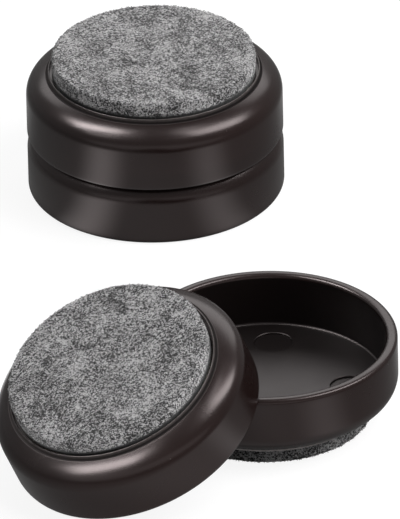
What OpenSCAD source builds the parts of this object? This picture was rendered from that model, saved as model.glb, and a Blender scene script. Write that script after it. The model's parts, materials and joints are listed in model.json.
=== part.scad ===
// Set of four furniture caster cups: a moulded cup with a felt foot, shown upright, leaning and stacked.
// Each pad is drawn in its own frame, standing on its felt at z = 0 with the leg socket open upwards.

/* [Cup] */
// Outside diameter of the moulded cup
cup_d = 66; // [65:0.5:70]
// Inside diameter of the socket that takes the furniture leg
socket_d = 60; // [50:0.5:60]
// Height of a pad from the floor to its rim
pad_h = 22; // [21:0.25:22.75]
// Depth of the socket from the rim to its floor
socket_depth = 14.25; // [8:0.25:14.5]
// Height of the straight wall from the rim to the shoulder
wall_h = 11; // [10.25:0.25:11.5]
// Radius of the shoulder next to the wall
shoulder_r = 5; // [4:0.25:6]
// Radius of the flatter crown between the shoulder and the felt
crown_r = 10; // [8:0.5:11]
// Turn of the shoulder at which the crown takes over
crown_turn = 45; // [40:1:50]
// Rounding of the rim on the outside
rim_outer_r = 1.2; // [0.6:0.1:1.6]
// Rounding of the rim on the inside
rim_inner_r = 1.2; // [0.6:0.1:1.4]
// Fillet between the socket floor and its wall
floor_fillet = 0.7; // [0.4:0.1:2]

/* [Felt recess] */
// Outside diameter of the thin lip round the felt
lip_d = 54.5; // [54.2:0.1:56]
// Thickness of the lip
lip_t = 0.35; // [0.3:0.05:0.5]
// How far the lip stands proud of the crown
lip_h = 1; // [0.5:0.1:1.5]
// Radius of the groove that sets the lip off from the crown
groove_r = 0.25; // [0.2:0.05:0.5]

/* [Felt and adhesive] */
// Diameter of the felt disc
felt_d = 53.2; // [40:0.2:53.2]
// Thickness of the felt disc
felt_t = 5; // [5:0.25:6]
// Rounding of the edge that meets the floor
felt_edge_r = 0.6; // [0.2:0.1:1]
// Diameter of the adhesive disc
adhesive_d = 52.2; // [38:0.2:52.6]
// Thickness of the adhesive disc
adhesive_t = 0.2; // [0.1:0.05:0.4]

/* [Ejector marks] */
// Number of round ejector marks on the socket floor
mark_count = 4; // [2:1:6]
// Diameter of a mark
mark_d = 9.8; // [6:0.2:10]
// Diameter of the circle that the marks sit on
mark_circle_d = 41.5; // [30:0.5:44]
// Depth of a mark
mark_depth = 0.5; // [0.1:0.05:0.6]
// Turn of the marks about the pad's axis
mark_turn = -5; // [-45:1:45]

/* [Arrangement] */
// Gap left between pads that rest on each other
rest_gap = 0.15; // [0.1:0.05:0.3]
// Distance in plan from the upright pad's axis to the centre of the leaning pad's rim
lean_offset = 42; // [38:1:48]
// Side on which the leaning pad stands, counter-clockwise from +X
lean_azimuth = 218; // [180:1:260]
// Place of the stack's axis, left and right
stack_x = -27; // [-60:0.5:60]
// Place of the stack's axis, behind the upright pad
stack_y = 118; // [90:0.5:160]

/* [Hidden] */
$fn = 96;
OVERLAP = 1;
PLASTIC = [0.19, 0.15, 0.14];
FELT = [0.45, 0.45, 0.46];
ADHESIVE = [0.86, 0.84, 0.76];

cup_r = cup_d / 2;
socket_r = socket_d / 2;
lip_r = lip_d / 2;
recess_z = felt_t + adhesive_t;
socket_floor_z = pad_h - socket_depth;
shoulder_axis_r = cup_r - shoulder_r;
shoulder_axis_z = pad_h - wall_h;
crown_axis_r = shoulder_axis_r - (crown_r - shoulder_r) * cos(crown_turn);
crown_axis_z = shoulder_axis_z + (crown_r - shoulder_r) * sin(crown_turn);
crown_edge_r = shoulder_axis_r + shoulder_r * cos(crown_turn);
groove_z = crown_axis_z - sqrt(crown_r^2 - (lip_r + groove_r - crown_axis_r)^2);
lip_z = groove_z - lip_h;

// Rise from one stacked rim to the next: the upper rim's inner rounding rests on the lower crown.
stack_reach = crown_r + rim_inner_r + rest_gap;
stack_spread = socket_r + rim_inner_r - crown_axis_r;
stack_rise = pad_h - crown_axis_z + sqrt(stack_reach^2 - stack_spread^2) - rim_inner_r;

// Height of the leaning rim's centre when its low edge stands on the floor.
function lean_height(tilt) = (cup_r - rim_outer_r) * sin(tilt) + rim_outer_r * (1 - cos(tilt));

// Distance from a point to a circle with the given centre, unit normal and radius.
function circle_distance(point, centre, normal, radius) =
    let (v = point - centre, along = v * normal)
    norm([along, norm(v - along * normal) - radius]);

// Gap between the leaning rim's inner rounding and the upright rim's outer rounding.
function lean_clearance(tilt) =
    let (
        normal = [sin(tilt), 0, cos(tilt)],
        centre = [lean_offset, 0, lean_height(tilt)] + rim_inner_r * normal,
        ring_r = cup_r - rim_outer_r,
        ring_z = pad_h - rim_outer_r
    )
    min([for (a = [0 : 0.5 : 90])
        circle_distance([ring_r * cos(a), ring_r * sin(a), ring_z], centre, normal, socket_r + rim_inner_r)
    ]) - rim_inner_r - rim_outer_r;

// Lowers a leaning pad by smaller and smaller steps until its rim rests on the upright one.
function settle(tilt, step) =
    step < 0.01 ? tilt
    : lean_clearance(tilt - step) > rest_gap ? settle(tilt - step, step)
    : settle(tilt, step / 2);

lean_tilt = settle(40, 1);

// A rectangle given by two opposite corners.
module box_2d(low, high) {
    translate(low) square(high - low);
}

// Outside of the moulding: wall, shoulder and crown in two radii, rounded rim edge and the lip.
module cup_outline() {
    box_2d([0, recess_z], [crown_axis_r, pad_h]);
    box_2d([0, shoulder_axis_z], [cup_r, pad_h - rim_outer_r]);
    box_2d([0, shoulder_axis_z], [cup_r - rim_outer_r, pad_h]);
    translate([shoulder_axis_r, shoulder_axis_z]) circle(shoulder_r);
    intersection() {
        translate([crown_axis_r, crown_axis_z]) circle(crown_r);
        box_2d([0, 0], [crown_edge_r, shoulder_axis_z]);
    }
    translate([cup_r - rim_outer_r, pad_h - rim_outer_r]) circle(rim_outer_r);
    box_2d([lip_r - lip_t, lip_z + lip_t / 2], [lip_r, recess_z]);
    translate([lip_r - lip_t / 2, lip_z + lip_t / 2]) circle(lip_t / 2);
}

// Socket for the leg: straight wall, filleted floor and a rounded mouth.
module socket_outline() {
    box_2d([0, socket_floor_z], [socket_r - floor_fillet, pad_h + OVERLAP]);
    box_2d([0, socket_floor_z + floor_fillet], [socket_r, pad_h + OVERLAP]);
    translate([socket_r - floor_fillet, socket_floor_z + floor_fillet]) circle(floor_fillet);
    difference() {
        box_2d([0, pad_h - rim_inner_r], [socket_r + rim_inner_r, pad_h + OVERLAP]);
        translate([socket_r + rim_inner_r, pad_h - rim_inner_r]) circle(rim_inner_r);
    }
}

module cup_section() {
    difference() {
        cup_outline();
        socket_outline();
        box_2d([0, 0], [lip_r - lip_t, recess_z]);
        translate([lip_r + groove_r, groove_z]) circle(groove_r);
    }
}

module cup() {
    difference() {
        rotate_extrude() intersection() {
            cup_section();
            box_2d([0, 0], [cup_r + OVERLAP, pad_h + OVERLAP]);
        }
        for (i = [0 : mark_count - 1])
            rotate(mark_turn + i * 360 / mark_count)
                translate([mark_circle_d / 2, 0, socket_floor_z - mark_depth])
                    cylinder(d = mark_d, h = mark_depth + OVERLAP / 2);
    }
}

module adhesive() {
    translate([0, 0, felt_t]) cylinder(d = adhesive_d, h = adhesive_t);
}

module felt() {
    rotate_extrude() intersection() {
        union() {
            box_2d([0, 0], [felt_d / 2 - felt_edge_r, felt_t]);
            box_2d([0, felt_edge_r], [felt_d / 2, felt_t]);
            translate([felt_d / 2 - felt_edge_r, felt_edge_r]) circle(felt_edge_r);
        }
        box_2d([0, 0], [felt_d, felt_t]);
    }
}

// Turns a pad upside down, so that its rim lies on z = 0.
module upside_down() {
    translate([0, 0, pad_h]) rotate([180, 0, 0]) children();
}

// Stands a pad on the floor by one edge of its rim, with the other edge on the upright pad's rim.
module leaning() {
    rotate(lean_azimuth)
        translate([lean_offset, 0, lean_height(lean_tilt)])
            rotate([0, lean_tilt, 0])
                upside_down() children();
}

// Puts a pad upside down in the stack, at the given level from the floor.
module stacked(level) {
    translate([stack_x, stack_y, level * stack_rise]) upside_down() children();
}

module upright_cup() { color(PLASTIC) cup(); }
module upright_adhesive() { color(ADHESIVE) adhesive(); }
module upright_felt() { color(FELT) felt(); }
module leaning_cup() { color(PLASTIC) leaning() cup(); }
module leaning_adhesive() { color(ADHESIVE) leaning() adhesive(); }
module leaning_felt() { color(FELT) leaning() felt(); }
module stack_lower_cup() { color(PLASTIC) stacked(0) cup(); }
module stack_lower_adhesive() { color(ADHESIVE) stacked(0) adhesive(); }
module stack_lower_felt() { color(FELT) stacked(0) felt(); }
module stack_upper_cup() { color(PLASTIC) stacked(1) cup(); }
module stack_upper_adhesive() { color(ADHESIVE) stacked(1) adhesive(); }
module stack_upper_felt() { color(FELT) stacked(1) felt(); }

upright_cup();
upright_adhesive();
upright_felt();
leaning_cup();
leaning_adhesive();
leaning_felt();
stack_lower_cup();
stack_lower_adhesive();
stack_lower_felt();
stack_upper_cup();
stack_upper_adhesive();
stack_upper_felt();
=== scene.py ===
"""Looks of a set of felt-footed furniture caster cups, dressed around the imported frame.

Every pad is built in its own frame, standing on its felt at z = 0 with the leg socket open upwards,
and is then carried to the place that the frame gives it: upright, leaning or upside down in a stack.
Sizes are in metres, and the angles in fields are in degrees.
"""

from __future__ import annotations

import json
import logging
import math
from dataclasses import dataclass, field
from enum import Enum
from typing import Any

import bmesh
import bpy
from bpy.types import Material, Mesh, Node, NodeSocket, NodeTree, Object, World
from mathutils import Matrix, Vector

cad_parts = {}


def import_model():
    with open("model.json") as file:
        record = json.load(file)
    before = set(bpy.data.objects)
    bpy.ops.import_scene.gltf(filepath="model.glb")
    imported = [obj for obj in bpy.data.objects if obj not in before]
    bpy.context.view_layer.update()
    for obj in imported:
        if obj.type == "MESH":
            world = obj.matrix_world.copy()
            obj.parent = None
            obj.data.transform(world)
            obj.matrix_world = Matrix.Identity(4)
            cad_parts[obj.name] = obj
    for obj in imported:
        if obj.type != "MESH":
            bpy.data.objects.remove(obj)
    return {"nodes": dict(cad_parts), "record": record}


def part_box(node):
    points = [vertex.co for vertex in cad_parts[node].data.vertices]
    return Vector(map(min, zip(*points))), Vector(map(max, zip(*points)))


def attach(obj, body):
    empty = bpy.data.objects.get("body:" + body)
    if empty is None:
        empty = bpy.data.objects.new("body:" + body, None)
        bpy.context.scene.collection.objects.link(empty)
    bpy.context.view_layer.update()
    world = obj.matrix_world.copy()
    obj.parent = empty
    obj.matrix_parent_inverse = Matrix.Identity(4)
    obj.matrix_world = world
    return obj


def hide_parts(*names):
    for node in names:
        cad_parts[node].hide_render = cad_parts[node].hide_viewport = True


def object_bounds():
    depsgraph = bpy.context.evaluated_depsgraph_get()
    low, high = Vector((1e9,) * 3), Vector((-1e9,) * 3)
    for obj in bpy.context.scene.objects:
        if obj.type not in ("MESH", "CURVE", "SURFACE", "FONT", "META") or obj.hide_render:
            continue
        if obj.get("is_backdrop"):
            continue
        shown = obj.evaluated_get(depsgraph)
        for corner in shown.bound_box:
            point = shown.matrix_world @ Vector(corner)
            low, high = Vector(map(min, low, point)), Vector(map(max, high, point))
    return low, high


LOG = logging.getLogger("caster_cups")
MM = 0.001
FULL_TURN = 2.0 * math.pi
UNIT = (0.0, 1.0)
FALLING = (1.0, 0.0)
BLACK = (0.0, 0.0, 0.0)
HALF_GREY = (0.5, 0.5, 0.5)
WHITE = (1.0, 1.0, 1.0, 1.0)
FLOAT = "NodeSocketFloat"
INTEGER = "NodeSocketInt"
GEOMETRY = "NodeSocketGeometry"
SOCKET_TYPES = {int: INTEGER, float: FLOAT, Material: "NodeSocketMaterial"}

# Names of the values that the meshes carry for their finishes to read.
TONE_ATTRIBUTE = "fibre_tone"
SOCKET_ATTRIBUTE = "in_socket"
RUB_HIGHLIGHT_ATTRIBUTE = "lip_rubbing_and_highlight"
SHADE_ATTRIBUTE = "lip_shade"
GROOVE_ATTRIBUTE = "in_groove"

# Points nearer than these are one point, in a turned mesh and along a section.
SEAM_GAP = 0.002 * MM
REPEAT_GAP = 0.005 * MM

# How much more painted highlight than the others the lip of the standing pad gets, so that it shows as a
# pale line.
STANDING_PAINTED_HIGHLIGHT = 5.0

# Axes of the pads in plan, and where a painted pool of light on the floor beside one begins and ends.
STACK_AXIS = (-27.0 * MM, 118.0 * MM)
UPRIGHT_AXIS = (0.0, 0.0)
LEANING_AXIS = (-33.0 * MM, -26.0 * MM)
FROM_FOOT = (32.0 * MM, 36.0 * MM)
FROM_CLOSE = (35.0 * MM, 48.0 * MM)
FROM_BEHIND = (41.0 * MM, 58.0 * MM)
TO_NEAR = (70.0 * MM, 95.0 * MM)
TO_FAR = (75.0 * MM, 130.0 * MM)

Point = tuple[float, float]
Colour = tuple[float, float, float]


class PadName(Enum):
    """The four pads of the set, named as their nodes begin."""

    UPRIGHT = "upright"
    LEANING = "leaning"
    STACK_LOWER = "stack_lower"
    STACK_UPPER = "stack_upper"

    @property
    def body(self) -> str:
        """Name of the rigid body that the pad's pieces ride on."""
        return f"{self.value}_pad"

    def node(self, piece: str) -> str:
        """Name of the pad's node for a piece such as cup or felt."""
        return f"{self.value}_{piece}"


class LampUse(Enum):
    """What a lamp is there for."""

    GLOSS = "gloss on the plastic"
    COLOUR = "colour of every surface"
    BOTH = "both"


class Graph:
    """Adds nodes to a node tree and joins their sockets."""

    def __init__(self, tree: NodeTree) -> None:
        """Keeps the tree that the nodes go into."""
        self.tree = tree

    @classmethod
    def emptied(cls, owner: Material | World) -> Graph:
        """Clears the nodes of a material or a world and returns a graph on its tree."""
        owner.use_nodes = True
        owner.node_tree.nodes.clear()
        return cls(owner.node_tree)

    def add(self, kind: str, inputs: dict[Any, Any] | None = None, **settings: Any) -> Node:
        """Adds one node.

        Args:
            kind: identifier of the node type.
            inputs: value or source socket for each input, by the input's name or number.
            settings: properties of the node itself.

        Returns:
            The new node.
        """
        node = self.tree.nodes.new(kind)
        for key, value in settings.items():
            setattr(node, key, value)
        self.fill(node, inputs or {})
        return node

    def fill(self, node: Node, inputs: dict[Any, Any]) -> None:
        """Links a source socket into each input named, or sets the input's own value."""
        for key, value in inputs.items():
            if isinstance(value, NodeSocket):
                self.tree.links.new(value, node.inputs[key])
            else:
                node.inputs[key].default_value = value

    def first(self, kind: str, inputs: dict[Any, Any] | None = None, **settings: Any) -> NodeSocket:
        """Adds one node and returns its first output."""
        return self.add(kind, inputs, **settings).outputs[0]

    def math(self, operation: str, *values: Any) -> NodeSocket:
        """Adds a Math node on the given values and returns its result."""
        return self.first("ShaderNodeMath", dict(enumerate(values)), operation=operation)

    def vector_math(self, operation: str, *values: Any) -> NodeSocket:
        """Adds a Vector Math node on the given vectors and returns its result."""
        return self.first("ShaderNodeVectorMath", dict(enumerate(values)), operation=operation)

    def scaled(self, vector: NodeSocket, amount: Any) -> NodeSocket:
        """Multiplies a vector by a number."""
        return self.first("ShaderNodeVectorMath", {0: vector, "Scale": amount}, operation="SCALE")

    def length(self, vector: NodeSocket) -> NodeSocket:
        """Length of a vector."""
        return self.add("ShaderNodeVectorMath", {0: vector}, operation="LENGTH").outputs["Value"]

    def sideways(self, vector: NodeSocket) -> NodeSocket:
        """Takes the height out of a vector."""
        return self.vector_math("MULTIPLY", vector, (1.0, 1.0, 0.0))

    def height(self, place: NodeSocket) -> NodeSocket:
        """Height of a place."""
        return self.add("ShaderNodeSeparateXYZ", {0: place}).outputs["Z"]

    def upward(self, amount: NodeSocket) -> NodeSocket:
        """Vector of the given length that points up."""
        return self.first("ShaderNodeCombineXYZ", {"Z": amount})

    def remap(self, value: NodeSocket, source: Point, target: Point, kind: str = "LINEAR") -> NodeSocket:
        """Maps a value from one range to another, held inside the second."""
        inputs = {"Value": value, "From Min": source[0], "From Max": source[1]}
        inputs.update({"To Min": target[0], "To Max": target[1]})
        return self.first("ShaderNodeMapRange", inputs, interpolation_type=kind)

    def noise(self, place: NodeSocket, scale: Any, detail: Any) -> Node:
        """Adds a noise texture over the given places."""
        return self.add("ShaderNodeTexNoise", {"Vector": place, "Scale": scale, "Detail": detail})

    def surface(self) -> NodeSocket:
        """Place on the surface in the object's own coordinates, in a material."""
        return self.add("ShaderNodeTexCoord").outputs["Object"]

    def carried(self, name: str) -> NodeSocket:
        """Value that the mesh carries under a name, in a material."""
        return self.add("ShaderNodeAttribute", attribute_name=name).outputs["Fac"]

    def rays(self) -> tuple[NodeSocket, NodeSocket]:
        """Adds two switches: one is 1 for a ray straight to the eye, the other for a reflection."""
        path = self.add("ShaderNodeLightPath").outputs
        to_eye = self.math("MAXIMUM", path["Is Camera Ray"], path["Is Transmission Ray"])
        return to_eye, path["Is Glossy Ray"]

    def point(self) -> NodeSocket:
        """Place of each point, in a geometry tree."""
        return self.first("GeometryNodeInputPosition")

    def noted(self, geometry: NodeSocket, name: str, value: NodeSocket) -> NodeSocket:
        """Stores a value on each point under a name, in a geometry tree."""
        inputs = {"Geometry": geometry, "Name": name, "Value": value}
        return self.first("GeometryNodeStoreNamedAttribute", inputs, data_type="FLOAT", domain="POINT")

    def chance(self, seed: NodeSocket, span: Point = UNIT) -> NodeSocket:
        """Adds a random number for each point, drawn evenly from a range."""
        inputs = {2: span[0], 3: span[1], "Seed": seed}
        return self.add("FunctionNodeRandomValue", inputs, data_type="FLOAT").outputs[1]


class NodeGroup(Graph):
    """A node group with named inputs and one output."""

    def __init__(self, name: str, kind: str, inputs: dict[str, str], output: str, output_type: str) -> None:
        """Makes a group without nodes, with sockets of the given names and types."""
        super().__init__(bpy.data.node_groups.new(name, kind))
        face = self.tree.interface
        self.identifiers = {
            label: face.new_socket(label, in_out="INPUT", socket_type=socket).identifier
            for label, socket in inputs.items()
        }
        face.new_socket(output, in_out="OUTPUT", socket_type=output_type)
        self.output = output
        self.given = self.add("NodeGroupInput").outputs

    def __getitem__(self, label: str) -> NodeSocket:
        """Source socket of a named input."""
        return self.given[label]

    def finish(self, result: NodeSocket) -> NodeTree:
        """Puts the result out and returns the finished tree."""
        self.add("NodeGroupOutput", {self.output: result})
        return self.tree


class GeometryTree(NodeGroup):
    """A Geometry Nodes tree that turns a section and makes a finished piece of it."""

    def __init__(self, name: str, section: Mesh, values: dict[str, Any]) -> None:
        """Makes a tree without nodes.

        Args:
            name: name of the tree.
            section: mesh of the section's points, which the tree works on.
            values: value of each named input, apart from the section and its number of points.
        """
        self.section = section
        self.values = {"Points": len(section.vertices), **values}
        inputs = {label: SOCKET_TYPES[type(value)] for label, value in self.values.items()}
        super().__init__(name, "GeometryNodeTree", {"Geometry": GEOMETRY, **inputs}, "Geometry", GEOMETRY)

    def turned(self, lathe: NodeTree) -> NodeSocket:
        """Adds the shared lathe, which turns the section."""
        inputs = {"Section": self["Geometry"], "Points": self["Points"], "Segments": self["Segments"]}
        return self.first("GeometryNodeGroup", inputs, node_tree=lathe)

    def finish(self, result: NodeSocket) -> NodeTree:
        """Makes instances real, sets the material and puts the result out."""
        real = self.first("GeometryNodeRealizeInstances", {"Geometry": result})
        inputs = {"Geometry": real, "Material": self["Material"]}
        return super().finish(self.first("GeometryNodeSetMaterial", inputs))

    def run(self, sharp_angle: float, **changes: Any) -> Mesh:
        """Evaluates the tree once.

        Args:
            sharp_angle: angle between faces from which an edge stays sharp.
            changes: named inputs that have another value this time.

        Returns:
            A plain mesh with nothing live on it and its faces turned outwards.
        """
        holder = bpy.data.objects.new("holder", self.section)
        bpy.context.scene.collection.objects.link(holder)
        modifier = holder.modifiers.new("tree", "NODES")
        modifier.node_group = self.tree
        for label, value in {**self.values, **changes}.items():
            modifier[self.identifiers[label]] = value
        depsgraph = bpy.context.evaluated_depsgraph_get()
        shaped = holder.evaluated_get(depsgraph)
        mesh = bpy.data.meshes.new_from_object(shaped, preserve_all_data_layers=True, depsgraph=depsgraph)
        bpy.data.objects.remove(holder)
        shell = bmesh.new()
        shell.from_mesh(mesh)
        bmesh.ops.recalc_face_normals(shell, faces=shell.faces)
        shell.to_mesh(mesh)
        shell.free()
        mesh.shade_smooth()
        mesh.set_sharp_from_angle(angle=math.radians(sharp_angle))
        return mesh


def lathe_group() -> NodeTree:
    """Builds the shared lathe: it turns a section about the z axis.

    Returns:
        A node group that takes the section's points in order, as x = radius and z = height, with the
        number of points and of segments, and gives a closed mesh with its seam and poles merged.
    """
    inputs = {"Section": GEOMETRY, "Points": INTEGER, "Segments": INTEGER}
    group = NodeGroup("lathe", "GeometryNodeTree", inputs, "Mesh", GEOMETRY)
    columns = group.math("ADD", group["Segments"], 1.0)
    grid = group.first("GeometryNodeMeshGrid", {"Vertices X": columns, "Vertices Y": group["Points"]})
    index = group.first("GeometryNodeInputIndex")
    row = group.math("MODULO", index, group["Points"])
    column = group.math("FLOOR", group.math("DIVIDE", group.math("ADD", index, 0.5), group["Points"]))
    inputs = {"Geometry": group["Section"], "Value": group.point(), "Index": row}
    sample = group.first("GeometryNodeSampleIndex", inputs, data_type="FLOAT_VECTOR", domain="POINT")
    angle = group.math("MULTIPLY", group.math("DIVIDE", column, group["Segments"]), FULL_TURN)
    inputs = {"Vector": sample, "Angle": angle}
    turned = group.first("ShaderNodeVectorRotate", inputs, rotation_type="Z_AXIS")
    moved = group.first("GeometryNodeSetPosition", {"Geometry": grid, "Position": turned})
    inputs = {"Geometry": moved, "Distance": SEAM_GAP}
    return group.finish(group.first("GeometryNodeMergeByDistance", inputs))


def mottle_group(roughness: float = 0.55, span: Point = (0.25, 0.75)) -> NodeTree:
    """Builds the shared shader effect of soft, uneven patches over a surface.

    Args:
        roughness: how strong the finer layers of the patches are.
        span: values of the plain noise that become 0 and 1.

    Returns:
        A shader node group with a Scale, a Detail and a Warp input, which puts out a Value from 0 to 1.
    """
    inputs = dict.fromkeys(("Scale", "Detail", "Warp"), FLOAT)
    group = NodeGroup("mottle", "ShaderNodeTree", inputs, "Value", FLOAT)
    noise = group.noise(group.surface(), group["Scale"], group["Detail"])
    group.fill(noise, {"Roughness": roughness, "Distortion": group["Warp"]})
    return group.finish(group.remap(noise.outputs[0], span, UNIT))


def arc(centre: Point, radius: float, start: float, end: float, steps: int) -> list[Point]:
    """Points along a round stretch of a section.

    Args:
        centre: centre of the arc, as radius and height.
        radius: radius of the arc.
        start: first angle in degrees, counter-clockwise from the outward direction.
        end: last angle in degrees.
        steps: number of chords.

    Returns:
        The points, both ends included.
    """
    turns = [math.radians(start + (end - start) * i / steps) for i in range(steps + 1)]
    return [(centre[0] + radius * math.cos(a), centre[1] + radius * math.sin(a)) for a in turns]


def straight(start: Point, end: Point, spacing: float) -> list[Point]:
    """Points along a straight stretch of a section, both ends included, at about the given spacing."""
    steps = max(1, round(math.dist(start, end) / spacing))
    return [
        (start[0] + (end[0] - start[0]) * i / steps, start[1] + (end[1] - start[1]) * i / steps)
        for i in range(steps + 1)
    ]


def circles_meet(first: Point, first_r: float, second: Point, second_r: float) -> Point:
    """Outer meeting point of two circles: the one at the larger radius from the pad's axis."""
    dx, dy = second[0] - first[0], second[1] - first[1]
    gap = math.hypot(dx, dy)
    along = (gap**2 + first_r**2 - second_r**2) / (2.0 * gap)
    across = math.sqrt(first_r**2 - along**2)
    foot = (first[0] + along * dx / gap, first[1] + along * dy / gap)
    return max((foot[0] + s * across * dy / gap, foot[1] - s * across * dx / gap) for s in (1.0, -1.0))


def angle_of(centre: Point, point: Point) -> float:
    """Angle in degrees at which a point lies as seen from a centre."""
    return math.degrees(math.atan2(point[1] - centre[1], point[0] - centre[0]))


def section_mesh(name: str, points: list[Point]) -> Mesh:
    """Makes a mesh of the section's points alone, as radius and height, in order and without repeats."""
    kept = [points[0]]
    for point in points[1:]:
        if math.dist(point, kept[-1]) > REPEAT_GAP:
            kept.append(point)
    mesh = bpy.data.meshes.new(name)
    mesh.from_pydata([(r, 0.0, z) for r, z in kept], [], [])
    return mesh


@dataclass(frozen=True)
class Patches:
    """Settings of the mottle effect: how fine, how detailed and how swirled its patches are."""

    scale: float
    detail: float
    warp: float = 0.0


@dataclass(frozen=True)
class Relief:
    """How strongly and how deeply a pattern dents a surface."""

    strength: float
    depth: float


@dataclass(frozen=True)
class Finish:
    """What every finish has: a name and the shared mottle effect."""

    name: str
    mottle: NodeTree

    def material(self) -> Material:
        """Makes a material of one Principled shader with the finish's looks."""
        material = bpy.data.materials.new(self.name)
        graph = Graph.emptied(material)
        shader = graph.first("ShaderNodeBsdfPrincipled", self.looks(graph))
        graph.add("ShaderNodeOutputMaterial", {"Surface": shader})
        return material

    def looks(self, graph: Graph) -> dict[str, Any]:
        """Adds the finish's patterns and returns what each of the shader's inputs gets."""
        raise NotImplementedError

    def patches(self, graph: Graph, pattern: Patches) -> NodeSocket:
        """Places the mottle effect with its own values and returns its value."""
        inputs = {"Scale": pattern.scale, "Detail": pattern.detail, "Warp": pattern.warp}
        return graph.first("ShaderNodeGroup", inputs, node_tree=self.mottle)

    @staticmethod
    def dented(graph: Graph, pattern: NodeSocket, relief: Relief) -> NodeSocket:
        """Adds the dents of a pattern and returns the direction of the dented surface."""
        inputs = {"Height": pattern, "Strength": relief.strength, "Distance": relief.depth}
        return graph.first("ShaderNodeBump", inputs)

    @staticmethod
    def blend(graph: Graph, amount: NodeSocket, low: Any, high: Any) -> NodeSocket:
        """Mixes two colours, each given as numbers or by a socket, by an amount from 0 to 1."""
        mix = graph.add("ShaderNodeMix", {"Factor": amount}, data_type="RGBA")
        for number, colour in ((6, low), (7, high)):
            graph.fill(mix, {number: (*colour, 1.0) if isinstance(colour, tuple) else colour})
        return mix.outputs[2]


@dataclass(frozen=True)
class MouldedPlastic(Finish):
    """Satin espresso-brown injection moulding with a fine spark-eroded grain."""

    deep: Colour = (0.0078, 0.0034, 0.0030)
    warm: Colour = (0.0112, 0.0050, 0.0043)
    rub_highlight_colour: Colour = (0.5, 0.47, 0.46)
    tint: Colour = (1.0, 0.88, 0.875)
    specular: float = 0.5
    satin: Point = (0.235, 0.285)
    rub_highlight_share: float = 0.16
    socket_painted_shade: float = 0.8
    socket_matt: float = 0.15
    groove_painted_shade: float = 0.92
    groove_matt: float = 0.7
    flow: Patches = Patches(38.0, 3.0, 0.6)
    handling: Patches = Patches(120.0, 5.0, 0.3)
    scuffs: Patches = Patches(900.0, 3.0)
    scuff_span: Point = (0.1, 0.7)
    scuff_share: Point = (0.5, 1.0)
    grain: Patches = Patches(3200.0, 2.0)
    grain_relief: Relief = Relief(0.35, 0.006 * MM)

    def looks(self, graph: Graph) -> dict[str, Any]:
        """Makes the plastic matt in the leg socket and the groove, with painted shade in both, and lightens
        the lip with rubbing and a painted highlight.
        """
        moulded = self.blend(graph, self.patches(graph, self.flow), self.deep, self.warm)
        inside = graph.carried(SOCKET_ATTRIBUTE)
        groove = graph.carried(GROOVE_ATTRIBUTE)
        # Painted shade in the groove beside the lip.
        sunk = graph.math("MULTIPLY", groove, self.groove_painted_shade)
        # Painted shade: the socket's inside is darkened towards black, and so is the groove.
        shaded = graph.math("MAXIMUM", graph.math("MULTIPLY", inside, self.socket_painted_shade), sunk)
        moulded = self.blend(graph, shaded, moulded, BLACK)
        scuffs = graph.remap(self.patches(graph, self.scuffs), self.scuff_span, self.scuff_share)
        # Partly real rubbing, partly a painted highlight: the lip's tip is mixed towards a pale colour.
        edge = graph.carried(RUB_HIGHLIGHT_ATTRIBUTE)
        rubbed = graph.math("MULTIPLY", edge, graph.math("MULTIPLY", scuffs, self.rub_highlight_share))
        smooth = graph.remap(self.patches(graph, self.handling), UNIT, self.satin)
        matt = graph.math("MULTIPLY", inside, self.socket_matt)
        matt = graph.math("MULTIPLY_ADD", groove, self.groove_matt, matt)
        return {
            "Base Color": self.blend(graph, rubbed, moulded, self.rub_highlight_colour),
            "Roughness": graph.math("ADD", smooth, matt),
            "Specular IOR Level": self.specular,
            "Specular Tint": (*self.tint, 1.0),
            "Normal": self.dented(graph, self.patches(graph, self.grain), self.grain_relief),
        }


@dataclass(frozen=True)
class NeedleFelt(Finish):
    """Heather grey needle felt: pale and dark fibres matted together."""

    dark: Colour = (0.014, 0.0136, 0.014)
    pale: Colour = (0.56, 0.551, 0.555)
    middle: float = 0.5
    ends: Point = (0.27, 0.85)
    roughness: float = 0.95
    specular: float = 0.15
    sheen: float = 0.25
    sheen_roughness: float = 0.6
    tuft_scale: float = 3300.0
    tuft_warp: float = 0.5 * MM
    warp_scale: float = 2600.0
    warp_detail: float = 4.0
    tuft_share: float = 0.95
    fibre_share: float = 0.45
    clumps: Patches = Patches(800.0, 3.0, 0.8)
    clump_share: float = 0.16
    clouds: Patches = Patches(135.0, 4.0, 0.5)
    cloud_share: float = 0.6
    lint: Patches = Patches(1900.0, 3.0, 1.2)
    lint_relief: Relief = Relief(0.6, 0.05 * MM)

    def tufts(self, graph: Graph) -> NodeSocket:
        """Adds the heather: each tiny tuft of fibres has a tone of its own from 0 to 1."""
        place = graph.surface()
        noise = graph.noise(place, self.warp_scale, self.warp_detail)
        sway = graph.vector_math("SUBTRACT", noise.outputs["Color"], HALF_GREY)
        bent = graph.vector_math("ADD", place, graph.scaled(sway, self.tuft_warp))
        cells = graph.add("ShaderNodeTexVoronoi", {"Vector": bent, "Scale": self.tuft_scale})
        return graph.first("ShaderNodeSeparateColor", {0: cells.outputs["Color"]})

    def looks(self, graph: Graph) -> dict[str, Any]:
        """Lets each pattern shift the felt's tone from the middle, and paints the lip's shade on it."""
        shifts = (
            (self.tufts(graph), self.tuft_share),
            (graph.carried(TONE_ATTRIBUTE), self.fibre_share),
            (self.patches(graph, self.clumps), self.clump_share),
            (self.patches(graph, self.clouds), self.cloud_share),
        )
        mixed = self.middle
        for tone, share in shifts:
            shift = graph.math("MULTIPLY", graph.math("SUBTRACT", tone, self.middle), share)
            mixed = graph.math("ADD", mixed, shift)
        heather = self.blend(graph, graph.remap(mixed, self.ends, UNIT), self.dark, self.pale)
        return {
            # Painted shade: the felt is darkened towards its dark fibre colour below the lip.
            "Base Color": self.blend(graph, graph.carried(SHADE_ATTRIBUTE), heather, self.dark),
            "Roughness": self.roughness,
            "Specular IOR Level": self.specular,
            "Sheen Weight": self.sheen,
            "Sheen Roughness": self.sheen_roughness,
            "Normal": self.dented(graph, self.patches(graph, self.lint), self.lint_relief),
        }


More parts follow.
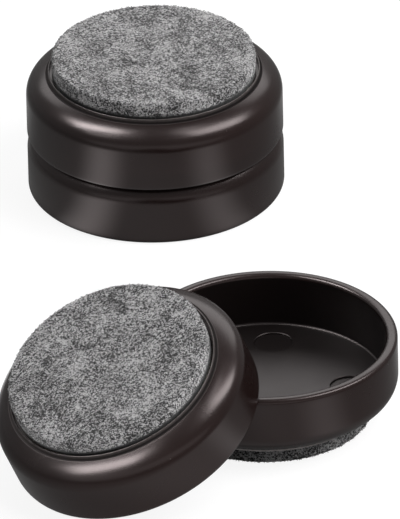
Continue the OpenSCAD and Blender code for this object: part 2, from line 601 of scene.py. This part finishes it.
@dataclass(frozen=True)
class AdhesiveTape(Finish):
    """Ivory double-sided tape with faint wrinkles."""

    thin: Colour = (0.62, 0.57, 0.44)
    thick: Colour = (0.74, 0.70, 0.58)
    gloss: Point = (0.25, 0.5)
    wrinkles: Patches = Patches(420.0, 4.0, 1.5)
    wrinkle_relief: Relief = Relief(0.3, 0.03 * MM)

    def looks(self, graph: Graph) -> dict[str, Any]:
        """Lets the wrinkles change the tape's tone and its gloss."""
        wrinkle = self.patches(graph, self.wrinkles)
        return {
            "Base Color": self.blend(graph, wrinkle, self.thin, self.thick),
            "Roughness": graph.remap(wrinkle, UNIT, self.gloss),
            "Normal": self.dented(graph, wrinkle, self.wrinkle_relief),
        }


@dataclass(frozen=True)
class CupShape:
    """The moulded cup: wall, shoulder and crown, felt lip, rim and leg socket with its ejector marks.

    The band of the lip's lightening, partly real rubbing and partly a painted highlight, is in thicknesses
    of the lip above its edge, and the band of painted groove shade in radii of the groove from its centre:
    the lip is lightened, and the groove painted dark, up to the first number, and both are plain from the
    second.
    """

    outer_r: float
    rim_z: float
    lip_z: float
    recess_z: float
    socket_r: float
    socket_depth: float = 14.25 * MM
    wall_h: float = 11.0 * MM
    shoulder_r: float = 5.0 * MM
    crown_r: float = 10.0 * MM
    crown_turn: float = 45.0
    lip_r: float = 27.25 * MM
    lip_t: float = 0.35 * MM
    groove_r: float = 0.25 * MM
    groove_edge_r: float = 0.1 * MM
    rim_outer_r: float = 1.2 * MM
    rim_inner_r: float = 1.2 * MM
    floor_fillet: float = 0.7 * MM
    mark_count: int = 4
    mark_r: float = 4.9 * MM
    mark_circle_r: float = 20.75 * MM
    mark_depth: float = 0.5 * MM
    mark_chamfer: float = 0.15 * MM
    mark_turn: float = -5.0
    mark_segments: int = 72
    segments: int = 224
    wall_step: float = 1.1 * MM
    recess_step: float = 6.0 * MM
    broad_chords: int = 20
    round_chords: int = 12
    inner_chords: int = 10
    edge_chords: int = 6
    sharp_angle: float = 32.0
    socket_slack: float = 0.05 * MM
    socket_below: float = 0.75 * MM
    rub_highlight_band: Point = (0.25, 1.0)
    groove_band: Point = (1.15, 2.2)

    @classmethod
    def from_frame(cls, record: dict[str, Any]) -> CupShape:
        """Reads the cup's main sizes from the upright pad and the leg socket's mount."""
        low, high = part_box(PadName.UPRIGHT.node("cup"))
        tape_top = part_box(PadName.UPRIGHT.node("adhesive"))[1].z
        socket = next(m for m in record["mounts"] if m["name"] == "leg_socket")
        return cls(high.x, high.z, low.z, tape_top, socket["dims"]["r_mm"] * MM)

    @property
    def floor_z(self) -> float:
        """Height of the socket's floor."""
        return self.rim_z - self.socket_depth

    @property
    def shoulder(self) -> Point:
        """Centre of the shoulder's arc."""
        return (self.outer_r - self.shoulder_r, self.rim_z - self.wall_h)

    @property
    def crown(self) -> Point:
        """Centre of the flatter crown's arc."""
        turn = math.radians(self.crown_turn)
        spread = self.crown_r - self.shoulder_r
        return (self.shoulder[0] - spread * math.cos(turn), self.shoulder[1] + spread * math.sin(turn))

    @property
    def groove(self) -> Point:
        """Centre of the groove's arc, which lies on the crown's."""
        out = self.lip_r + self.groove_r
        return (out, self.crown[1] - math.sqrt(self.crown_r**2 - (out - self.crown[0]) ** 2))

    def underside(self) -> list[Point]:
        """Section from the recess's middle over the lip, the groove and the crown to the wall."""
        crown, groove = self.crown, self.groove
        edge_reach = self.groove_r + self.groove_edge_r
        edge = circles_meet(crown, self.crown_r - self.groove_edge_r, groove, edge_reach)
        to_edge = angle_of(groove, edge)
        crown_start = angle_of(crown, edge)
        tip_r = self.lip_t / 2.0
        points = straight((0.0, self.recess_z), (self.lip_r - self.lip_t, self.recess_z), self.recess_step)
        points += arc((self.lip_r - tip_r, self.lip_z + tip_r), tip_r, 180.0, 360.0, self.round_chords)
        points += arc(groove, self.groove_r, 180.0, to_edge, self.round_chords)
        points += arc(edge, self.groove_edge_r, to_edge - 180.0, crown_start, self.edge_chords)
        points += arc(crown, self.crown_r, crown_start, -self.crown_turn, self.broad_chords)
        points += arc(self.shoulder, self.shoulder_r, -self.crown_turn, 0.0, self.broad_chords)
        return points

    def rim_and_socket(self) -> list[Point]:
        """Section from the wall over the rim and down the socket to the middle of its floor."""
        rim_out = (self.outer_r - self.rim_outer_r, self.rim_z - self.rim_outer_r)
        rim_in = (self.socket_r + self.rim_inner_r, self.rim_z - self.rim_inner_r)
        corner = (self.socket_r - self.floor_fillet, self.floor_z + self.floor_fillet)
        wall_start = (self.outer_r, self.rim_z - self.wall_h)
        points = straight(wall_start, (self.outer_r, rim_out[1]), self.wall_step)
        points += arc(rim_out, self.rim_outer_r, 0.0, 90.0, self.round_chords)
        points += arc(rim_in, self.rim_inner_r, 90.0, 180.0, self.inner_chords)
        points += straight((self.socket_r, rim_in[1]), (self.socket_r, corner[1]), self.wall_step)
        points += arc(corner, self.floor_fillet, 0.0, -90.0, self.inner_chords)
        points.append((0.0, self.floor_z))
        return points

    def mark_cutters(self, tree: GeometryTree, depth: NodeSocket, flare: float) -> NodeSocket:
        """Adds one round cutter at each ejector mark.

        Args:
            tree: the cup's tree.
            depth: how far the cutters reach below the floor, and stand above it.
            flare: how much wider than its foot a cutter's top is, in chamfers.

        Returns:
            The cutters as one mesh.
        """
        wider = tree.math("MULTIPLY", tree["Mark Chamfer"], flare)
        inputs = {
            "Vertices": self.mark_segments,
            "Depth": tree.math("MULTIPLY", depth, 2.0),
            "Radius Bottom": tree["Mark Radius"],
            "Radius Top": tree.math("ADD", tree["Mark Radius"], wider),
        }
        cutter = tree.first("GeometryNodeMeshCone", inputs)
        inputs = {"Vertices": tree["Mark Count"], "Radius": tree["Mark Circle"]}
        ring = tree.first("GeometryNodeMeshCircle", inputs)
        marks = tree.first("GeometryNodeInstanceOnPoints", {"Points": ring, "Instance": cutter})
        level = tree.math("SUBTRACT", tree["Floor Height"], depth)
        inputs = {"Translation": tree.upward(level), "Rotation": tree.upward(tree["Mark Turn"])}
        placed = tree.first("GeometryNodeTransform", {"Geometry": marks, **inputs})
        return tree.first("GeometryNodeRealizeInstances", {"Geometry": placed})

    @staticmethod
    def in_socket(tree: GeometryTree) -> NodeSocket:
        """Adds a value that is 1 in the leg socket, marks included, and 0 elsewhere."""
        place = tree.point()
        inside = tree.math("LESS_THAN", tree.length(tree.sideways(place)), tree["Socket Reach"])
        above = tree.math("GREATER_THAN", tree.height(place), tree["Socket Bottom"])
        return tree.math("MULTIPLY", inside, above)

    def lip_rubbing_and_highlight(self, tree: GeometryTree) -> NodeSocket:
        """Adds how much a point is lightened, partly as real rubbing and partly as a painted highlight: the
        lip's tip is, and its side less and less.
        """
        above = tree.math("SUBTRACT", tree.height(tree.point()), tree["Lip Height"])
        return tree.remap(tree.math("DIVIDE", above, tree["Lip Thickness"]), self.rub_highlight_band, FALLING)

    def in_groove(self, tree: GeometryTree) -> NodeSocket:
        """Adds how far a point lies in the groove beside the lip, where no light gets in; the finish paints
        shade there.
        """
        place = tree.point()
        aside = tree.math("SUBTRACT", tree.length(tree.sideways(place)), tree["Groove Reach"])
        below = tree.math("SUBTRACT", tree.height(place), tree["Groove Height"])
        away = tree.length(tree.first("ShaderNodeCombineXYZ", {"X": aside, "Z": below}))
        return tree.remap(tree.math("DIVIDE", away, tree["Groove Radius"]), self.groove_band, FALLING)

    def mesh(self, lathe: NodeTree, plastic: Material) -> Mesh:
        """Makes the cup in the pad's own frame: a turned section with the ejector marks pressed in."""
        section = section_mesh("cup_section", self.underside() + self.rim_and_socket())
        values = {
            "Segments": self.segments,
            "Mark Count": self.mark_count,
            "Mark Circle": self.mark_circle_r,
            "Mark Radius": self.mark_r,
            "Mark Depth": self.mark_depth,
            "Mark Chamfer": self.mark_chamfer,
            "Mark Turn": math.radians(self.mark_turn),
            "Floor Height": self.floor_z,
            "Socket Reach": self.socket_r + self.socket_slack,
            "Socket Bottom": self.floor_z - self.socket_below,
            "Lip Height": self.lip_z,
            "Lip Thickness": self.lip_t,
            "Groove Reach": self.groove[0],
            "Groove Height": self.groove[1],
            "Groove Radius": self.groove_r,
            "Material": plastic,
        }
        tree = GeometryTree("moulded_cup", section, values)
        inputs = {"Mesh 1": tree.turned(lathe)}
        pressed = tree.add("GeometryNodeMeshBoolean", inputs, operation="DIFFERENCE", solver="MANIFOLD")
        for depth, flare in ((tree["Mark Depth"], 0.0), (tree["Mark Chamfer"], 2.0)):
            tree.fill(pressed, {"Mesh 2": self.mark_cutters(tree, depth, flare)})
        cup = tree.noted(pressed.outputs[0], SOCKET_ATTRIBUTE, self.in_socket(tree))
        cup = tree.noted(cup, RUB_HIGHLIGHT_ATTRIBUTE, self.lip_rubbing_and_highlight(tree))
        tree.finish(tree.noted(cup, GROOVE_ATTRIBUTE, self.in_groove(tree)))
        return tree.run(self.sharp_angle)


@dataclass(frozen=True)
class FeltShape:
    """The felt disc: a slightly lumpy body with short fibres matted over what shows of it.

    The shade fade is in shade bands below the lip: the felt is painted dark up to the first number, and
    plain from the second.
    """

    radius: float
    thickness: float
    lip_z: float
    edge_r: float = 0.6 * MM
    inset: float = 0.1 * MM
    side_gap: float = 0.35 * MM
    overlap: float = 0.4 * MM
    shade_band: float = 0.7 * MM
    shade_fade: Point = (0.3, 1.0)
    glued_step: float = 4.0 * MM
    ring_step: float = 0.55 * MM
    edge_chords: int = 4
    segments: int = 180
    sharp_angle: float = 60.0
    lump: float = 0.16 * MM
    lump_scale: float = 420.0
    lump_detail: float = 3.0
    lump_middle: float = 0.62
    tone_scale: float = 1400.0
    tone_detail: float = 2.0
    tone_span: Point = (0.35, 0.65)
    body_tones: Point = (0.1, 0.7)
    fibre_density: float = 2.7e6
    fibre_length: float = 1.6 * MM
    fibre_rise: float = 0.22 * MM
    fibre_radius: float = 0.075 * MM
    fibre_chords: int = 3
    fibre_sides: int = 3
    fibre_sizes: Point = (0.55, 1.35)
    fibre_span: Point = (0.3, 0.7)
    spin_seed: float = 7.0
    size_seed: float = 13.0
    curl: float = 0.8 * MM
    curl_scale: float = 700.0
    curl_detail: float = 1.0
    curl_lift: float = 0.15

    @classmethod
    def from_frame(cls) -> FeltShape:
        """Reads the felt's sizes from the upright pad."""
        low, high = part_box(PadName.UPRIGHT.node("felt"))
        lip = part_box(PadName.UPRIGHT.node("cup"))[0].z
        return cls(high.x, high.z - low.z, lip)

    def section(self) -> Mesh:
        """Section of the body, from the middle of the glued face round to the middle of the foot."""
        side = self.radius - self.side_gap - self.inset
        corner = (side - self.edge_r, self.inset + self.edge_r)
        points = straight((0.0, self.thickness), (side, self.thickness), self.glued_step)
        points += straight((side, self.thickness), (side, corner[1]), self.ring_step)
        points += arc(corner, self.edge_r, 0.0, -90.0, self.edge_chords)
        points += straight((corner[0], self.inset), (0.0, self.inset), self.ring_step)
        return section_mesh("felt_section", points)

    def tree(self, lathe: NodeTree, felt: Material) -> GeometryTree:
        """Builds the tree that lumps the body and mats fibres over it, with the seed as an input."""
        values = {
            "Segments": self.segments,
            "Seed": 0,
            "Shown": self.lip_z + self.overlap,
            "Side": self.radius - self.side_gap - self.fibre_radius / 2.0,
            "Foot": self.fibre_radius,
            "Lip Height": self.lip_z,
            "Shade Band": self.shade_band,
            "Lump": self.lump,
            "Lump Scale": self.lump_scale,
            "Density": self.fibre_density,
            "Length": self.fibre_length,
            "Rise": self.fibre_rise,
            "Radius": self.fibre_radius,
            "Curl": self.curl,
            "Curl Scale": self.curl_scale,
            "Material": felt,
        }
        tree = GeometryTree("needle_felt", self.section(), values)
        body = self.body(tree, lathe)
        fibres = self.matted(tree, self.planted(tree, body))
        joined = tree.add("GeometryNodeJoinGeometry")
        for geometry in (fibres, body):
            tree.fill(joined, {0: geometry})
        tree.finish(tree.noted(joined.outputs[0], SHADE_ATTRIBUTE, self.lip_shade(tree)))
        return tree

    def lip_shade(self, tree: GeometryTree) -> NodeSocket:
        """Adds how far a point lies in the shade of the lip."""
        below = tree.math("SUBTRACT", tree["Lip Height"], tree.height(tree.point()))
        return tree.remap(tree.math("DIVIDE", below, tree["Shade Band"]), self.shade_fade, FALLING)

    def body(self, tree: GeometryTree, lathe: NodeTree) -> NodeSocket:
        """Adds the turned body with its lumps and its own tone."""
        place = tree.point()
        apart = tree.vector_math("ADD", place, tree.first("ShaderNodeCombineXYZ", {"X": tree["Seed"]}))
        lumps = tree.noise(apart, tree["Lump Scale"], self.lump_detail).outputs[0]
        height = tree.math("MULTIPLY", tree.math("SUBTRACT", lumps, self.lump_middle), tree["Lump"])
        inputs = {
            "Geometry": tree.turned(lathe),
            "Selection": tree.math("LESS_THAN", tree.height(place), tree["Shown"]),
            "Offset": tree.scaled(tree.first("GeometryNodeInputNormal"), height),
        }
        lumped = tree.first("GeometryNodeSetPosition", inputs)
        tone = tree.noise(apart, self.tone_scale, self.tone_detail).outputs[0]
        return tree.noted(lumped, TONE_ATTRIBUTE, tree.remap(tone, self.tone_span, self.body_tones))

    def strand(self, tree: GeometryTree) -> NodeSocket:
        """Adds one short arched fibre, with both ends sunk into the body."""
        inputs = {"Resolution": self.fibre_chords, "Middle": tree.upward(tree["Rise"])}
        sink = tree.math("MULTIPLY", tree["Radius"], -1.0)
        for end, side in (("Start", -0.5), ("End", 0.5)):
            along = tree.math("MULTIPLY", tree["Length"], side)
            inputs[end] = tree.first("ShaderNodeCombineXYZ", {"X": along, "Z": sink})
        return tree.first("GeometryNodeCurveQuadraticBezier", inputs)

    def planted(self, tree: GeometryTree, body: NodeSocket) -> NodeSocket:
        """Lays fibres on what shows of the body, each with its own tone, turn and size."""
        seed = tree["Seed"]
        shown = tree.math("LESS_THAN", tree.height(tree.point()), tree["Shown"])
        inputs = {"Mesh": body, "Selection": shown, "Density": tree["Density"], "Seed": seed}
        spread = tree.add("GeometryNodeDistributePointsOnFaces", inputs, distribute_method="RANDOM")
        tone = tree.remap(tree.chance(seed), self.fibre_span, UNIT)
        spin = tree.chance(tree.math("ADD", seed, self.spin_seed), (0.0, FULL_TURN))
        inputs = {0: spread.outputs["Rotation"], 1: tree.upward(spin)}
        laid = tree.first("FunctionNodeRotateRotation", inputs, rotation_space="LOCAL")
        inputs = {
            "Points": tree.noted(spread.outputs["Points"], TONE_ATTRIBUTE, tone),
            "Instance": self.strand(tree),
            "Rotation": laid,
            "Scale": tree.chance(tree.math("ADD", seed, self.size_seed), self.fibre_sizes),
        }
        many = tree.first("GeometryNodeInstanceOnPoints", inputs)
        return tree.first("GeometryNodeRealizeInstances", {"Geometry": many})

    def matted(self, tree: GeometryTree, fibres: NodeSocket) -> NodeSocket:
        """Curls the fibres by a noise field, holds them inside the disc and makes them round."""
        place = tree.point()
        noise = tree.noise(place, tree["Curl Scale"], self.curl_detail)
        swirl = tree.vector_math("SUBTRACT", noise.outputs["Color"], HALF_GREY)
        flat = tree.vector_math("MULTIPLY", swirl, (1.0, 1.0, self.curl_lift))
        inputs = {"Geometry": fibres, "Offset": tree.scaled(flat, tree["Curl"])}
        curled = tree.first("GeometryNodeSetPosition", inputs)
        out = tree.sideways(place)
        shrink = tree.math("MINIMUM", tree.math("DIVIDE", tree["Side"], tree.length(out)), 1.0)
        height = tree.upward(tree.math("MAXIMUM", tree.height(place), tree["Foot"]))
        inside = tree.vector_math("ADD", tree.scaled(out, shrink), height)
        held = tree.first("GeometryNodeSetPosition", {"Geometry": curled, "Position": inside})
        inputs = {"Resolution": self.fibre_sides, "Radius": tree["Radius"]}
        ring = tree.first("GeometryNodeCurvePrimitiveCircle", inputs)
        inputs = {"Curve": held, "Profile Curve": ring, "Fill Caps": True}
        return tree.first("GeometryNodeCurveToMesh", inputs)


@dataclass
class Pad:
    """One pad: its cup and felt, made in its own frame and carried to its place."""

    name: PadName
    nodes: dict[str, Object]
    rub: float
    level_limit: float = 1e-3
    place: Matrix = field(init=False)

    def __post_init__(self) -> None:
        """Works out the pad's place from its glued discs, whose middles lie on its axis."""
        tape = self.middle(self.nodes[self.name.node("adhesive")])
        felt = self.middle(self.nodes[self.name.node("felt")])
        up = (tape - felt).normalized()
        turn = Matrix.Identity(3)
        if up.z < 0.0:
            leans = math.hypot(up.x, up.y) > self.level_limit
            azimuth = math.atan2(-up.y, -up.x) if leans else 0.0
            tilt = math.acos(max(-1.0, min(1.0, -up.z)))
            turn = Matrix.Rotation(azimuth, 3, "Z") @ Matrix.Rotation(tilt, 3, "Y")
            turn = turn @ Matrix.Rotation(math.pi, 3, "X")
        low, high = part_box(PadName.UPRIGHT.node("adhesive"))
        self.place = Matrix.Translation(tape - turn @ ((low + high) / 2.0)) @ turn.to_4x4()

    @staticmethod
    def middle(node: Object) -> Vector:
        """Middle of a node's surface, each face counted by its area."""
        total, area = Vector(), 0.0
        for polygon in node.data.polygons:
            total += polygon.center * polygon.area
            area += polygon.area
        return total / area

    def piece(self, part: str, mesh: Mesh, slot: str) -> Object:
        """Puts a made mesh in the pad's place and lets it stand for the pad's node.

        Args:
            part: cup or felt.
            mesh: the piece's mesh in the pad's own frame.
            slot: the record's material slot; not used.

        Returns:
            The new object, at the origin with its place in its mesh.
        """
        mesh.transform(self.place)
        mesh.update()
        made = bpy.data.objects.new(f"{self.name.node(part)}_visual", mesh)
        bpy.context.scene.collection.objects.link(made)
        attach(made, self.name.body)
        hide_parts(self.name.node(part))
        LOG.info("%s: %d faces", made.name, len(mesh.polygons))
        return made

    def dress(self, cup: Mesh, felt: Mesh, tape: Material) -> dict[str, Object]:
        """Builds the pad's pieces, dresses its adhesive disc and returns the new pieces by node."""
        # Painted highlight: the lip's lightening is scaled per pad, most on the standing pad.
        for point in cup.attributes[RUB_HIGHLIGHT_ATTRIBUTE].data:
            point.value *= self.rub
        moulding = self.piece("cup", cup, "cup_plastic")
        pad = self.piece("felt", felt, "felt")
        disc = self.nodes[self.name.node("adhesive")]
        disc.material_slots[0].material = tape
        return {self.name.node("cup"): moulding, self.name.node("felt"): pad}


@dataclass(frozen=True)
class Softbox:
    """A soft strip lamp that looks at the set from a direction, and may light some pieces only."""

    name: str
    direction: Colour
    along: Colour
    length: float
    width: float
    power: float
    use: LampUse = LampUse.GLOSS
    only: tuple[str, ...] = ()
    reach: float = 1.5

    def place(self, target: Vector, pieces: dict[str, Object]) -> None:
        """Hangs the lamp, aims it at the target and turns its long side along its run."""
        data = bpy.data.lights.new(self.name, "AREA")
        data.shape = "RECTANGLE"
        data.size, data.size_y = self.length, self.width
        data.energy = self.power
        lamp = bpy.data.objects.new(self.name, data)
        out = Vector(self.direction).normalized()
        across = out.cross(Vector(self.along)).normalized()
        axes = Matrix((across.cross(out), across, out)).transposed()
        lamp.matrix_world = Matrix.Translation(target + out * self.reach) @ axes.to_4x4()
        lamp.visible_camera = False
        lamp.visible_diffuse = self.use is not LampUse.GLOSS
        lamp.visible_glossy = self.use is not LampUse.COLOUR
        bpy.context.scene.collection.objects.link(lamp)
        if self.only:
            lit = bpy.data.collections.new(f"{self.name}_lit")
            for node in self.only:
                lit.objects.link(pieces[node])
            lamp.light_linking.receiver_collection = lit


@dataclass(frozen=True)
class PaintedLightPool:
    """A painted pool of light on the floor beside a pad, which shows only in the plastic's gloss as a
    painted reflection.

    The pool lies round the pad's axis, to one side of it: the bearing runs from the viewer to the right.
    """

    axis: Point
    bearing: float
    spread: float
    strength: float
    rise: Point = FROM_CLOSE
    fall: Point = TO_NEAR

    def glow(self, graph: Graph, place: NodeSocket) -> NodeSocket:
        """Adds the pool's brightness at a place on the floor, with soft sides and soft ends."""
        away = graph.sideways(graph.vector_math("SUBTRACT", place, (*self.axis, 0.0)))
        reach = graph.length(away)
        sides = graph.add("ShaderNodeSeparateXYZ", {0: away}).outputs
        turn = graph.math("ARCTAN2", sides["X"], graph.math("MULTIPLY", sides["Y"], -1.0))
        turn = graph.math("SUBTRACT", turn, math.radians(self.bearing))
        turn = graph.math("ABSOLUTE", graph.math("WRAP", turn, math.pi, -math.pi))
        beside = graph.remap(turn, (0.0, math.radians(self.spread)), FALLING, "SMOOTHSTEP")
        clear = graph.remap(reach, self.rise, (0.0, self.strength), "SMOOTHSTEP")
        close = graph.remap(reach, self.fall, FALLING, "SMOOTHSTEP")
        return graph.math("MULTIPLY", beside, graph.math("MULTIPLY", clear, close))


@dataclass(frozen=True)
class Studio:
    """Pale floor, soft lamps and the photograph's camera."""

    floor_size: float = 6.0
    floor_white: float = 0.885
    floor_albedo: float = 0.14
    shadow_albedo: float = 0.18
    gloss_albedo: float = 0.12
    ambient: float = 0.2
    mirrored: float = 0.12
    elevation: float = 30.0
    roll: float = -1.3
    lens: float = 1200.0
    sensor: float = 36.0
    clip_reaches: float = 4.0
    picture: tuple[int, int] = (400, 519)
    pixels_per_mm: float = 3.97
    origin_pixel: Point = (268.0, 410.3)
    lamps: tuple[Softbox, ...] = (
        Softbox("overhead_left", (-0.516, 0.033, 0.856), (0.598, -0.321, 0.406), 0.80, 0.34, 18.0),
        Softbox("left_skirt", (-0.6, -0.27, 0.75), (0.88, -0.11, 0.47), 0.6, 0.24, 1.2),
        Softbox("overhead_right", (0.604, -0.056, 0.795), (-0.552, -0.572, 0.32), 1.02, 0.41, 12.4),
        Softbox("right_skirt", (0.275, -0.05, 0.96), (0.0, 1.0, 0.0), 0.5, 0.3, 1.5),
        Softbox("backdrop_glow", (0.0, 0.80, 0.60), (1.0, 0.0, 0.0), 2.1, 0.70, 8.8, LampUse.BOTH),
        Softbox("soft_key", (0.65, -0.15, 0.745), (1.0, 0.0, 0.0), 1.4, 1.0, 22.0, LampUse.COLOUR),
        Softbox(
            "front_fill", (0.1, -0.99, 0.03), (1.0, 0.0, 0.0), 1.2, 0.05, 12.0, LampUse.COLOUR,
            ("leaning_cup", "leaning_felt", "stack_lower_cup", "stack_upper_cup", "stack_upper_felt"),
        ),
        Softbox("front_strip", (0.0, -0.99, 0.14), (1.0, 0.0, 0.0), 5.0, 0.8, 5.6),
        Softbox(
            "leaning_accent", (-0.594, -0.506, 0.625), (0.796, -0.384, 0.466), 1.0, 0.5, 23.0,
            LampUse.GLOSS, ("leaning_cup",),
        ),
        Softbox(
            "upright_front", (0.35, -0.92, 0.18), (1.0, 0.0, 0.0), 1.2, 0.4, 6.0,
            LampUse.COLOUR, ("upright_cup",),
        ),
    )
    pools: tuple[PaintedLightPool, ...] = (
        PaintedLightPool(STACK_AXIS, -38.0, 20.0, 1.7, FROM_FOOT, TO_FAR),
        PaintedLightPool(STACK_AXIS, -8.0, 110.0, 0.42, FROM_FOOT, TO_FAR),
        PaintedLightPool(STACK_AXIS, 37.0, 20.0, 0.95, FROM_FOOT, TO_FAR),
        PaintedLightPool(UPRIGHT_AXIS, 0.0, 100.0, 0.28, FROM_FOOT),
        PaintedLightPool(UPRIGHT_AXIS, 36.0, 22.0, 0.6),
        PaintedLightPool(LEANING_AXIS, 0.0, 100.0, 0.25),
        PaintedLightPool(STACK_AXIS, 180.0, 80.0, 0.68, FROM_BEHIND),
    )

    def light_world(self) -> None:
        """Makes the world white to the eye, dim in a reflection and softly bright where it only lights."""
        world = bpy.data.worlds.new("studio")
        graph = Graph.emptied(world)
        to_eye, glossy = graph.rays()
        seen = graph.math("MAXIMUM", to_eye, graph.math("MULTIPLY", glossy, self.mirrored))
        strength = graph.remap(seen, UNIT, (self.ambient, 1.0))
        sky = graph.first("ShaderNodeBackground", {"Color": WHITE, "Strength": strength})
        graph.add("ShaderNodeOutputWorld", {"Surface": sky})
        bpy.context.scene.world = world

    def floor_material(self) -> Material:
        """White to the eye with the set's soft shadow on it, a plain pale floor to the light, and painted
        pools of light that only reflections see.
        """
        material = bpy.data.materials.new("studio_floor")
        graph = Graph.emptied(material)
        to_eye, glossy = graph.rays()
        tone = self.floor_albedo
        for ray, albedo in ((to_eye, self.shadow_albedo), (glossy, self.gloss_albedo)):
            tone = graph.math("MULTIPLY_ADD", ray, albedo - self.floor_albedo, tone)
        pale = graph.first("ShaderNodeCombineColor", dict.fromkeys(range(3), tone))
        shade = graph.first("ShaderNodeBsdfDiffuse", {"Color": pale})
        place = graph.surface()
        gloss = self.floor_white * self.mirrored
        # Painted light: glowing pools on the floor that only glossy rays see, as bands of reflection on the
        # walls.
        for pool in self.pools:
            gloss = graph.math("ADD", gloss, pool.glow(graph, place))
        gloss = graph.math("MULTIPLY", gloss, glossy)
        strength = graph.math("MAXIMUM", graph.math("MULTIPLY", to_eye, self.floor_white), gloss)
        glow = graph.first("ShaderNodeEmission", {"Color": WHITE, "Strength": strength})
        mix = graph.first("ShaderNodeAddShader", {0: shade, 1: glow})
        graph.add("ShaderNodeOutputMaterial", {"Surface": mix})
        return material

    def lay_floor(self, level: float) -> None:
        """Lays the floor under the set."""
        half = self.floor_size / 2.0
        mesh = bpy.data.meshes.new("studio_floor")
        corners = [(-half, -half, level), (half, -half, level), (half, half, level), (-half, half, level)]
        mesh.from_pydata(corners, [], [(0, 1, 2, 3)])
        mesh.materials.append(self.floor_material())
        floor = bpy.data.objects.new("studio_floor", mesh)
        bpy.context.scene.collection.objects.link(floor)
        floor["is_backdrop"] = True

    def set_camera(self) -> None:
        """Puts a long lens at the photograph's angle, with the origin at its pixel."""
        elevation = math.radians(self.elevation)
        back = Vector((0.0, -math.cos(elevation), math.sin(elevation)))
        right = Vector((1.0, 0.0, 0.0))
        up = back.cross(right)
        lean = Matrix.Rotation(math.radians(self.roll), 3, back)
        right, up = lean @ right, lean @ up
        step = MM / self.pixels_per_mm
        across = (self.origin_pixel[0] - self.picture[0] / 2.0) * step
        down = (self.origin_pixel[1] - self.picture[1] / 2.0) * step
        aim = up * down - right * across
        reach = self.lens / self.sensor * max(self.picture) * step
        data = bpy.data.cameras.new("photo_camera")
        data.lens, data.sensor_width = self.lens, self.sensor
        data.clip_end = self.clip_reaches * reach
        camera = bpy.data.objects.new("photo_camera", data)
        axes = Matrix((right, up, back)).transposed().to_4x4()
        camera.matrix_world = Matrix.Translation(aim + back * reach) @ axes
        bpy.context.scene.collection.objects.link(camera)
        bpy.context.scene.camera = camera

    def build(self, low: Vector, high: Vector, pieces: dict[str, Object]) -> None:
        """Makes the whole studio around the object's box."""
        bpy.context.scene.view_settings.view_transform = "Standard"
        self.light_world()
        self.lay_floor(low.z)
        for lamp in self.lamps:
            lamp.place((low + high) / 2.0, pieces)
        self.set_camera()


def main() -> None:
    """Dresses the four pads and sets up the studio."""
    logging.basicConfig(level=logging.INFO, format="%(name)s: %(message)s")
    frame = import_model()
    cad_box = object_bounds()
    mottle = mottle_group()
    lathe = lathe_group()
    plastic = MouldedPlastic("espresso_plastic", mottle).material()
    felt = NeedleFelt("heather_felt", mottle).material()
    tape = AdhesiveTape("ivory_tape", mottle).material()
    cup = CupShape.from_frame(frame["record"]).mesh(lathe, plastic)
    disc = FeltShape.from_frame()
    matting = disc.tree(lathe, felt)
    pieces: dict[str, Object] = {}
    for seed, name in enumerate(PadName, start=1):
        pad = Pad(name, frame["nodes"], STANDING_PAINTED_HIGHLIGHT if name is PadName.UPRIGHT else 1.0)
        pieces.update(pad.dress(cup.copy(), matting.run(disc.sharp_angle, Seed=seed), tape))
    Studio().build(*cad_box, pieces)


if __name__ == "__main__":
    main()
